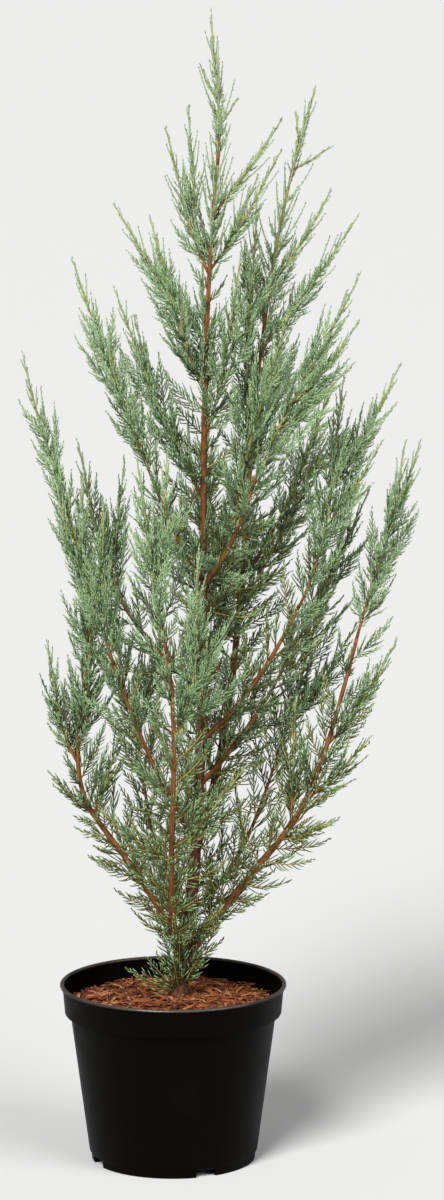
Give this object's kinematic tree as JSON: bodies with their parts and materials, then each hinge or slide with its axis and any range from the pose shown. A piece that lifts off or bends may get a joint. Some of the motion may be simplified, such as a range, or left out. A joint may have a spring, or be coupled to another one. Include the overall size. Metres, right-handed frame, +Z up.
{
  "type": "potted rocky mountain juniper",
  "caption": "Young rocky mountain juniper: narrow, open crown of upright blue-green plumes on red-brown stems, standing in a round black nursery pot topped with bark mulch.",
  "frame": {"origin": "centre of the pot's flat underside, on the surface that it stands on", "axes": "+Z up along the plant's height, -Y towards the front seen in the picture, +X to the right as seen from the front"},
  "size_m": [0.484, 0.3943, 1.417],
  "materials": {
    "pot_plastic": "near-black satin moulded plastic",
    "potting_soil": "moist dark potting mix, hidden under the mulch",
    "bark_chips": "loose shredded red-brown bark",
    "juniper_bark": "fibrous red-brown bark, matt",
    "juniper_foliage": "matt pale blue-green scale leaves"
  },
  "bodies": {
    "root": {"pot": "pot_plastic", "root_ball": "potting_soil", "bark_mulch": "bark_chips", "trunk": "juniper_bark", "back_bough": "juniper_bark", "back_low_bough": "juniper_bark", "back_right_low_bough": "juniper_bark", "front_stem": "juniper_bark", "left_back_bough": "juniper_bark", "left_bough": "juniper_bark", "left_inner_bough": "juniper_bark", "left_upper_bough": "juniper_bark", "right_back_bough": "juniper_bark", "right_bough": "juniper_bark", "right_front_bough": "juniper_bark", "right_leader": "juniper_bark", "right_lower_bough": "juniper_bark", "right_middle_bough": "juniper_bark", "back_foot_spray": "juniper_foliage", "back_high_plume": "juniper_foliage", "back_low_plume": "juniper_foliage", "back_plume": "juniper_foliage", "back_right_low_plume": "juniper_foliage", "centre_plume": "juniper_foliage", "front_foot_spray": "juniper_foliage", "front_low_left_spray": "juniper_foliage", "front_low_right_spray": "juniper_foliage", "front_plume": "juniper_foliage", "front_right_plume": "juniper_foliage", "leader_tip": "juniper_foliage", "left_back_plume": "juniper_foliage", "left_centre_plume": "juniper_foliage", "left_high_plume": "juniper_foliage", "left_inner_plume": "juniper_foliage", "left_low_inner_spray": "juniper_foliage", "left_low_spray": "juniper_foliage", "left_outer_plume": "juniper_foliage", "left_second_plume": "juniper_foliage", "left_side_spray": "juniper_foliage", "left_top_plume": "juniper_foliage", "left_upper_plume": "juniper_foliage", "right_back_plume": "juniper_foliage", "right_foot_spray": "juniper_foliage", "right_front_inner_plume": "juniper_foliage", "right_front_plume": "juniper_foliage", "right_inner_plume": "juniper_foliage", "right_leader_back_plume": "juniper_foliage", "right_leader_inner_plume": "juniper_foliage", "right_leader_outer_plume": "juniper_foliage", "right_leader_side_spray": "juniper_foliage", "right_leader_tip": "juniper_foliage", "right_low_inner_spray": "juniper_foliage", "right_low_spray": "juniper_foliage", "right_lower_plume": "juniper_foliage", "right_middle_plume": "juniper_foliage", "right_outer_plume": "juniper_foliage", "right_outer_spray": "juniper_foliage", "top_left_plume": "juniper_foliage", "top_right_plume": "juniper_foliage", "upper_right_plume": "juniper_foliage"}
  },
  "joints": []
}
